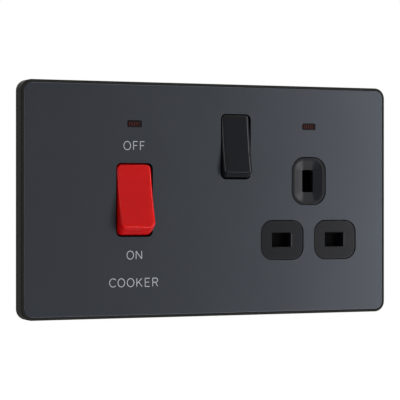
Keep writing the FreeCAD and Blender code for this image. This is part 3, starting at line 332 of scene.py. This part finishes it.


# neon windows: a ribbed red panel with the lamp behind it, in a dark border painted on the lens;
# the border is painted shade of the gap round the lens and of the black carrier seen through the
# clear lens

neonLens = {
    "x": {"cooker_neon_lens": -30.2, "socket_neon_lens": 40.33},
    "z": 27.7,
    "flange": (6.98, 3.98, 0.5, -2.62),        # width, height, corner, back
    "body": (5.4, 2.3, 0.5, -4.3, -6.55),      # width, height, corner, back, front
    "edgeRound": 0.12,
    "frame": 0.3,
    "frameCorners": (0.7, 0.8),    # what the corner loses inside the frame, as shares of it
    "taper": 0.1,
    "recess": 0.32,
    "ribs": 5,
    "ribHalf": 0.46,               # share of the ribs' pitch
    "ribRise": 0.16,
    "ribSunk": 0.05,
    "ribEndGap": 0.08,
    "ribSteps": 6,
}


def makeNeonLens(nodeName, x):
    lens = neonLens
    z = lens["z"]
    width, height, corner, back, front = lens["body"]
    flangeWidth, flangeHeight, flangeCorner, flangeBack = lens["flange"]
    edge, border, taper = lens["edgeRound"], lens["frame"], lens["taper"]
    frontCorner, panelCorner = [corner - border * share for share in lens["frameCorners"]]
    panelWidth, panelHeight = width - 2 * border, height - 2 * border
    panel = front + lens["recess"]
    rows = [(flangeWidth, flangeHeight, flangeCorner, flangeBack, 0),
            (flangeWidth, flangeHeight, flangeCorner, back, 0),
            (width, height, corner, back, 0),
            (width, height, corner, front + edge, 0),
            (width - edge, height - edge, corner - edge / 2, front + edge * 0.3, 0),
            (width - 2 * edge, height - 2 * edge, corner - edge, front, 0),
            (panelWidth, panelHeight, frontCorner, front, 0),
            (panelWidth - taper, panelHeight - taper, panelCorner, panel, 1)]
    drawn = bmesh.new()
    loft(drawn, [flatRing(roundedLoop(w, h, c), x, z, y) for w, h, c, y, _ in rows],
         slots=[slot for *_, slot in rows])
    pitch = (panelWidth - taper) / lens["ribs"]
    ribHalf = pitch * lens["ribHalf"]
    under = panel + lens["ribSunk"]
    half = panelHeight / 2 - lens["ribEndGap"]
    turns = [math.pi * i / lens["ribSteps"] for i in range(lens["ribSteps"] + 1)]
    for k in range(lens["ribs"]):
        middle = x - panelWidth / 2 + taper / 2 + pitch * (k + 0.5)
        outline = [(middle - ribHalf * math.cos(t), panel - lens["ribRise"] * math.sin(t))
                   for t in turns]
        outline += [(middle + ribHalf, under), (middle - ribHalf, under)]
        loft(drawn, [[Vector((u, y, z + end)) * mm for u, y in outline] for end in (-half, half)],
             slots=[1, 1])
    # slot 0, the lens body and its border, takes the painted shade colour; slot 1, the sunk panel
    # and its ribs, takes the red lens
    piece = keep(drawn, nodeName + "Ribbed", ["paintedShadeBorder", "redLens"], "unit")
    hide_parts(nodeName)


for nodeName, x in neonLens["x"].items():
    makeNeonLens(nodeName, x)

neonLamp = {
    "x": {"cooker_neon_lamp": -30.2, "socket_neon_lamp": 40.33},
    "y": 0.6,
    "z": 27.7,
    # along the glass from its pinched end: place, radius
    "glass": [(-4.5, 0.45), (-4.42, 0.8), (-3.9, 1.0), (-3.2, 1.55), (-2.6, 1.88),
              (2.6, 1.88), (3.4, 1.72), (4.0, 1.35), (4.35, 0.8), (4.48, 0.2)],
    "glassSteps": 28,
    "electrode": [(-4.3, 0.12), (-2.4, 0.12), (-2.3, 0.28), (2.4, 0.28), (2.5, 0.1)],
    "electrodeSteps": 12,
    "electrodeSide": 0.55,      # distance of each from the middle
}


def alongX(x, y, z, profile, steps):
    turns = [2 * math.pi * k / steps for k in range(steps)]
    return [[Vector((x + place, y + r * math.cos(t), z + r * math.sin(t))) * mm for t in turns]
            for place, r in profile]


for nodeName, x in neonLamp["x"].items():
    drawn = bmesh.new()
    loft(drawn, alongX(x, neonLamp["y"], neonLamp["z"], neonLamp["glass"], neonLamp["glassSteps"]))
    glass = keep(drawn, nodeName + "Glass", ["lampGlass"], "unit")
    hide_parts(nodeName)
    drawn = bmesh.new()
    for side in (-neonLamp["electrodeSide"], neonLamp["electrodeSide"]):
        loft(drawn, alongX(x, neonLamp["y"], neonLamp["z"] + side, neonLamp["electrode"],
                           neonLamp["electrodeSteps"]))
    keep(drawn, nodeName + "Electrodes", ["springSteel"], "unit")
print("neon windows made")


# screws: turned heads with a slot or a cross, and wound threads

fixingScrew = {
    "places": [(-60.3, 0), (60.3, 0)],
    "slot": (1.0, 1.1),        # width, depth
    "head": [(-3.69, 0.8), (-3.66, 1.6), (-3.5, 2.35), (-3.15, 2.95), (-2.7, 3.25), (-2.3, 3.29),
             (-1.6, 3.29)],
    "shank": [(-1.7, 1.48), (0.3, 1.48), (0.6, 1.4), (23.3, 1.4), (23.95, 0.95)],
    "thread": (0.5, 23.7, 1.4, 1.74, 0.6),     # from, to, root, crest, pitch
}
coverScrew = {
    "places": [(-45.55, 0), (-13.15, 22.5), (-13.15, -22), (23.5, 28), (49.7, 29.5), (30.3, 0)],
    "cross": (1.35, 0.3, 0.85, 1.15),          # arm at the top, half width, arm at the foot, depth
    "head": [(15.0, 2.78), (15.5, 2.78), (16.05, 2.66), (16.5, 2.35), (16.82, 1.8), (16.98, 0.9)],
    "shank": [(2.02, 0.15), (3.4, 1.0), (15.1, 1.0)],
    "thread": (2.8, 14.9, 1.0, 1.39, 1.0),
}
clampScrew = {
    "places": [(-36.7, -19.5), (-36.7, 19.5), (-23.7, -19.5), (-23.7, 19.5)],
    "slot": (0.8, 1.1),
    "head": [(13.52, 1.7), (13.95, 2.0), (17.75, 2.0), (17.78, 2.36), (18.15, 2.36), (18.29, 2.2)],
    "thread": (13.6, 18.0, 2.0, 2.38, 0.8),
}
earthScrew = {
    "places": [(-1.35, -21.5), (9.05, -21.5)],
    "slot": (0.8, 1.1),
    "head": [(12.92, 1.35), (13.3, 1.65), (17.15, 1.65), (17.18, 1.96), (17.55, 1.96),
             (17.69, 1.8)],
    "thread": (13.0, 17.4, 1.65, 1.98, 0.7),
}


cutter = {
    "slotOver": 1,          # how far the bar stands past the head
    "crossOver": 0.5,
    "crossFull": 0.02,      # the cross has its full width from this depth
    "crossTaper": 0.75,
}


def slotTool(x, z, top, depth, width, reach):
    # a bar across the head; it enters from the side that top faces
    tool = bmesh.new()
    half = width / 2
    outward = math.copysign(1, top)
    inside, outside = top - outward * depth, top + outward * cutter["slotOver"]
    loop = [(-reach, -half), (reach, -half), (reach, half), (-reach, half)]
    loft(tool, [flatRing(loop, x, z, inside), flatRing(loop, x, z, outside)])
    return tool


def crossTool(x, z, top, cross):
    arm, half, foot, depth = cross
    rings = []
    for a, h, y in ((foot, half * cutter["crossTaper"], top - depth),
                    (arm, half, top - cutter["crossFull"]), (arm, half, top + cutter["crossOver"])):
        loop = [(a, h), (h, h), (h, a), (-h, a), (-h, h), (-a, h),
                (-a, -h), (-h, -h), (-h, -a), (h, -a), (h, -h), (a, -h)]
        rings.append(flatRing(loop, x, z, y))
    tool = bmesh.new()
    loft(tool, rings)
    return tool


def addTo(drawn, part):
    mesh = bpy.data.meshes.new("part")
    part.to_mesh(mesh)
    part.free()
    drawn.from_mesh(mesh)
    bpy.data.meshes.remove(mesh)


def makeScrews(nodeName, screw):
    drawn = bmesh.new()
    profile = screw["head"]
    slotName = slotOf[nodeName]
    for x, z in screw["places"]:
        solid = bmesh.new()
        loft(solid, turnedRings(x, z, profile))
        if "cross" in screw:
            solid = carved(solid, crossTool(x, z, profile[-1][0], screw["cross"]))
        else:
            top = profile[0][0] if profile[0][0] < 0 else profile[-1][0]
            width, depth = screw["slot"]
            reach = max(r for _, r in profile) + cutter["slotOver"]
            solid = carved(solid, slotTool(x, z, top, depth, width, reach))
        addTo(drawn, solid)
        if "shank" in screw:
            loft(drawn, turnedRings(x, z, screw["shank"], 24))
        loft(drawn, threadRings(x, z, *screw["thread"]))
    piece = keep(drawn, nodeName + "Threaded", [slotFinish[slotName]], "unit")
    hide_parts(nodeName)


for nodeName, screw in (("fixing_screws", fixingScrew), ("assembly_screws", coverScrew),
                        ("terminal_screws", clampScrew), ("earth_screws", earthScrew)):
    makeScrews(nodeName, screw)
print("screws cut")


# springs: round wire with closed end turns

spring = {
    "wire": 0.22,
    "ringSteps": 10,
    "turnSteps": 28,
    "endTurns": 0.9,
    "sharpAngle": 60,
    "coils": {
        # node: body, joint, fixed end, direction,
        # free length, coil radius, turns, share kept when pushed
        "live_spring": ("cooker_rocker", "live_plunger_slide", (-33.8, -5.223, 0.675),
                        (0, 0.97437, -0.224951), 6.0, 1.33, 5.5, 0.74),
        "neutral_spring": ("cooker_rocker", "neutral_plunger_slide", (-26.6, -5.223, 0.675),
                           (0, 0.97437, -0.224951), 6.0, 1.33, 5.5, 0.74),
        "socket_spring": ("socket_rocker", "socket_plunger_slide", (10.1, -4.763, 20.249),
                          (0, 0.987688, -0.156434), 6.0, 1.33, 5.5, 0.74),
        "shutter_spring": ("unit", "shutter_slide", (40.33, -1.0, -13.1),
                           (0, 0, 1), 10.5, 1.4, 7.5, 0.39),
    },
}


def makeSpring(nodeName, body, joint, foot, along, length, radius, turns, kept):
    foot, along = Vector(foot), Vector(along).normalized()
    across = Vector((1, 0, 0))
    third = along.cross(across)
    wire, ends = spring["wire"], spring["endTurns"]
    wireTurns = [2 * math.pi * i / spring["ringSteps"] for i in range(spring["ringSteps"])]
    closedRise = 2 * wire * ends
    openTurns = turns - 2 * ends
    openRise = length - 2 * wire - 2 * closedRise
    rings = []
    for k in range(int(turns * spring["turnSteps"]) + 1):
        turned = min(turns, k / spring["turnSteps"])
        if turned < ends:
            rise = closedRise * turned / ends
        elif turned > turns - ends:
            rise = closedRise + openRise + closedRise * (turned - turns + ends) / ends
        else:
            rise = closedRise + openRise * (turned - ends) / openTurns
        t = 2 * math.pi * turned
        outward = across * math.cos(t) + third * math.sin(t)
        middle = foot + along * (wire + rise) + outward * radius
        rings.append([(middle + outward * wire * math.cos(a) + along * wire * math.sin(a)) * mm
                      for a in wireTurns])
    drawn = bmesh.new()
    loft(drawn, rings)
    piece = keep(drawn, nodeName + "Coil", ["springSteel"], body, spring["sharpAngle"])
    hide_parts(nodeName)
    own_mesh(piece)


for nodeName, values in spring["coils"].items():
    makeSpring(nodeName, *values)
print("springs wound")


# lettering: pen strokes of one width; printed light grey in front, raised on the rear cover

legend = {
    "pen": 0.25,
    "thickness": 0.03,
    "sunk": 0.02,
    "words": {   # left, right, bottom, top on the plate
        "OFF": (-34.48, -26.23, 18.09, 21.35),
        "ON": (-33.29, -27.31, -21.64, -18.44),
        "COOKER": (-39.98, -21.08, -31.65, -28.42),
    },
}
rearMarks = {
    "pen": 0.45,
    "rise": 0.3,
    "sunk": 0.05,
    "face": 21.0,
    "words": {   # word: each place as left, right, bottom, top seen from the front
        "L": [(-37.6, -35.8, 8.0, 11.0), (-37.6, -35.8, -11.0, -8.0)],
        "N": [(-24.8, -22.6, 8.0, 11.0), (-24.8, -22.6, -11.0, -8.0)],
        "SUPPLY": [(-36.2, -24.2, 3.2, 5.6)],
        "LOAD": [(-34.4, -26.0, -5.6, -3.2)],
    },
    "earth": (3.85, -11.4, 4.2),      # middle and height of the earth mark
    "earthBars": (0.5, 0.32, 0.14),   # half width of each bar, as a share of the height
    "earthStep": 0.2,
}
letterWidth = {"O": 0.87, "F": 0.53, "N": 0.74, "C": 0.79, "K": 0.68, "E": 0.58, "R": 0.64,
               "L": 0.52, "S": 0.58, "U": 0.68, "P": 0.60, "Y": 0.66, "A": 0.74, "D": 0.74}
letterRoom = {"O": (0.44, 0.44), "C": (0.44, 0.33), "F": (0.55, 0.40)}     # sides of a letter
plainRoom = (0.55, 0.55)
stroke = {
    "samePoint": 1e-6,
    "mitreLimit": 0.4,      # least cosine at a corner, which keeps sharp corners short
    "bowlSteps": 14,
}


def arc(cx, cy, rx, ry, start, end, steps=28):
    turns = [math.radians(start + (end - start) * k / steps) for k in range(steps + 1)]
    return [(cx + rx * math.cos(t), cy + ry * math.sin(t)) for t in turns]


def letterStrokes(letter, w):
    # pen paths of a capital of height 1 and width w
    steps = stroke["bowlSteps"]
    bowl = arc(w * 0.62, 0.75, w * 0.38, 0.25, 90, -90)
    strokes = {
        "O": [arc(w / 2, 0.5, w / 2, 0.5, 0, 360)],
        "C": [arc(w * 0.574, 0.5, w * 0.574, 0.5, 42, 318)],
        "F": [[(0, 0), (0, 1), (w, 1)], [(0, 0.52), (w * 0.88, 0.52)]],
        "E": [[(w, 0), (0, 0), (0, 1), (w, 1)], [(0, 0.52), (w * 0.9, 0.52)]],
        "N": [[(0, 0), (0, 1)], [(0, 1), (w, 0)], [(w, 0), (w, 1)]],
        "K": [[(0, 0), (0, 1)], [(0, 0.36), (w * 0.96, 1)], [(w * 0.34, 0.58), (w, 0)]],
        "R": [[(0, 0), (0, 1)] + bowl + [(0, 0.5)], [(w * 0.55, 0.5), (w, 0)]],
        "P": [[(0, 0), (0, 1)] + bowl + [(0, 0.5)]],
        "L": [[(0, 1), (0, 0), (w, 0)]],
        "S": [arc(w / 2, 0.75, w / 2, 0.25, 30, 270, steps)
              + arc(w / 2, 0.25, w / 2, 0.25, 90, -150, steps)],
        "U": [[(0, 1)] + arc(w / 2, 0.3, w / 2, 0.3, 180, 360, steps) + [(w, 1)]],
        "Y": [[(0, 1), (w / 2, 0.48), (w / 2, 0)], [(w, 1), (w / 2, 0.48)]],
        "A": [[(0, 0), (w / 2, 1), (w, 0)], [(w * 0.17, 0.33), (w * 0.83, 0.33)]],
        "D": [[(0, 0), (0, 1)] + arc(w * 0.4, 0.5, w * 0.6, 0.5, 90, -90) + [(0, 0)]],
    }
    return strokes[letter]


def strokeSolid(drawn, path, width, near, far):
    # a flat bar along a path: mitred sides, then a little thickness
    closed = (Vector(path[0]) - Vector(path[-1])).length < stroke["samePoint"]
    points = [Vector(p) for p in (path[:-1] if closed else path)]
    count = len(points)
    rings = []
    for k, here in enumerate(points):
        before = points[k - 1] if k > 0 or closed else None
        after = points[(k + 1) % count] if k < count - 1 or closed else None
        into = (here - before).normalized() if before is not None else (after - here).normalized()
        out = (after - here).normalized() if after is not None else into
        along = (into + out).normalized()
        side = Vector((-along.y, along.x)) * width / 2 / max(stroke["mitreLimit"], along.dot(into))
        corners = [(here + side, near), (here - side, near), (here - side, far), (here + side, far)]
        rings.append([Vector((p.x, depth, p.y)) * mm for p, depth in corners])
    loft(drawn, rings, closed)


def wordStrokes(word, left, right, bottom, top, pen):
    # every pen path of a word, spread over its box
    height = top - bottom - pen
    widths = [letterWidth[letter] * height for letter in word]
    rooms = [letterRoom.get(letter, plainRoom) for letter in word]
    gaps = [a[1] + b[0] for a, b in zip(rooms, rooms[1:])]
    stretch = (right - left - pen - sum(widths)) / sum(gaps) if gaps else 0
    x = left + pen / 2
    paths = []
    for k, letter in enumerate(word):
        for path in letterStrokes(letter, letterWidth[letter]):
            paths.append([(x + u * height, bottom + pen / 2 + v * height) for u, v in path])
        x += widths[k] + (gaps[k] * stretch if k < len(gaps) else 0)
    return paths


for word, place in legend["words"].items():
    drawn = bmesh.new()
    for path in wordStrokes(word, *place, legend["pen"]):
        strokeSolid(drawn, path, legend["pen"], plateFace - legend["thickness"],
                    plateFace + legend["sunk"])
    keep(drawn, "legend" + word.title(), ["legendInk"], "unit")

drawn = bmesh.new()
pen = rearMarks["pen"]
sunk, raised = rearMarks["face"] - rearMarks["sunk"], rearMarks["face"] + rearMarks["rise"]
for word, places in rearMarks["words"].items():
    for left, right, bottom, top in places:
        for path in wordStrokes(word, left, right, bottom, top, pen):
            mirrored = [(left + right - u, v) for u, v in path]       # read from behind
            strokeSolid(drawn, mirrored, pen, sunk, raised)
x, z, height = rearMarks["earth"]
strokeSolid(drawn, [(x, z + height / 2), (x, z)], pen, sunk, raised)
for k, half in enumerate(rearMarks["earthBars"]):
    level = z - height * rearMarks["earthStep"] * k
    strokeSolid(drawn, [(x - height * half, level), (x + height * half, level)], pen, sunk, raised)
keep(drawn, "rearCoverMarks", ["blackMoulding"], "unit")
print("lettering drawn")


# camera: fitted to the photograph's perspective

camera = {
    "place": (-258.27, -609.17, -0.03),
    "turn": 22.853,      # degrees to the right of square on
    "lens": 159.40,
    "sensor": 36,
    "nearest": 10,
}
cameraData = bpy.data.cameras.new("camera")
cameraData.lens = camera["lens"]
cameraData.sensor_width = camera["sensor"]
cameraData.clip_start = camera["nearest"] * mm
cameraObject = bpy.data.objects.new("camera", cameraData)
cameraObject.location = [v * mm for v in camera["place"]]
cameraObject.rotation_euler = (math.pi / 2, 0, -math.radians(camera["turn"]))
bpy.context.scene.collection.objects.link(cameraObject)
bpy.context.scene.camera = cameraObject


# stage: pale floor, white surroundings, soft lights

stage = {
    "floorLevel": -700,
    "floorReach": 8000,     # to each side
    "floorTone": 0.8,
    "floorGlow": 0.87,      # lifts the seen floor to white
    "worldTone": 1.0,
    "worldLight": 0.2,
    "worldWhite": 1.0,
    "lights": {
        # name: place, size, watts; all point at the middle of the plate
        "keyRight": ((600, -620, -20), (300, 1000), 6.8),
        "topSoft": ((250, -330, 760), (500, 320), 3.4),
        "lowSoft": ((380, -560, -640), (500, 240), 4.0),
        "leftSoft": ((-760, -330, 60), (260, 500), 2.2),
        "backSoft": ((-150, 760, 620), (500, 400), 3.8),
    },
}


def softLight(name, place, size, power):
    data = bpy.data.lights.new(name, "AREA")
    data.shape = "RECTANGLE"
    data.size, data.size_y = size[0] * mm, size[1] * mm
    data.energy = power
    lamp = bpy.data.objects.new(name, data)
    lamp.location = Vector(place) * mm
    lamp.rotation_euler = (-lamp.location).to_track_quat("-Z", "Y").to_euler()
    bpy.context.scene.collection.objects.link(lamp)


for name, values in stage["lights"].items():
    softLight(name, *values)


def grey(tone):
    return (tone, tone, tone, 1)


def whiteShare(tree):
    # 1 for the camera and for what metal and glass show, 0 for the light on the object
    path = node(tree, "ShaderNodeLightPath")
    seen = node(tree, "ShaderNodeMath", operation="MAXIMUM")
    link(tree, path, "Is Camera Ray", seen, 0)
    link(tree, path, "Is Transmission Ray", seen, 1)
    share = node(tree, "ShaderNodeMath", operation="MAXIMUM")
    link(tree, seen, 0, share, 0)
    link(tree, path, "Is Glossy Ray", share, 1)
    return share


def seenWhite(tree, lit, white, target):
    mix = node(tree, "ShaderNodeMixShader")
    link(tree, whiteShare(tree), 0, mix, 0)
    link(tree, lit, 0, mix, 1)
    link(tree, white, 0, mix, 2)
    tree.links.new(mix.outputs[0], target)


world = bpy.data.worlds.new("studio")
bpy.context.scene.world = world
world.use_nodes = True
worldTree = world.node_tree
lit = worldTree.nodes["Background"]
lit.inputs["Color"].default_value = grey(stage["worldTone"])
lit.inputs["Strength"].default_value = stage["worldLight"]
white = node(worldTree, "ShaderNodeBackground", Color=grey(stage["worldTone"]),
             Strength=stage["worldWhite"])
seenWhite(worldTree, lit, white, worldTree.nodes["World Output"].inputs["Surface"])

floorMesh = bpy.data.meshes.new("floor")
reach = stage["floorReach"] * mm
corners = [(-reach, -reach, 0), (reach, -reach, 0), (reach, reach, 0), (-reach, reach, 0)]
floorMesh.from_pydata(corners, [], [(0, 1, 2, 3)])
floor = bpy.data.objects.new("floor", floorMesh)
floor.location.z = stage["floorLevel"] * mm
bpy.context.scene.collection.objects.link(floor)
floorMaterial = bpy.data.materials.new("paleFloor")
floorMaterial.use_nodes = True
floorTree = floorMaterial.node_tree
diffuse = node(floorTree, "ShaderNodeBsdfDiffuse", Color=grey(stage["floorTone"]))
glow = node(floorTree, "ShaderNodeEmission", Strength=stage["floorGlow"])
together = node(floorTree, "ShaderNodeAddShader")
link(floorTree, diffuse, 0, together, 0)
link(floorTree, glow, 0, together, 1)
seenWhite(floorTree, diffuse, together,
          floorTree.nodes["Material Output"].inputs["Surface"])
floorMesh.materials.append(floorMaterial)

bpy.context.scene.view_settings.view_transform = "Standard"
print("stage lit")
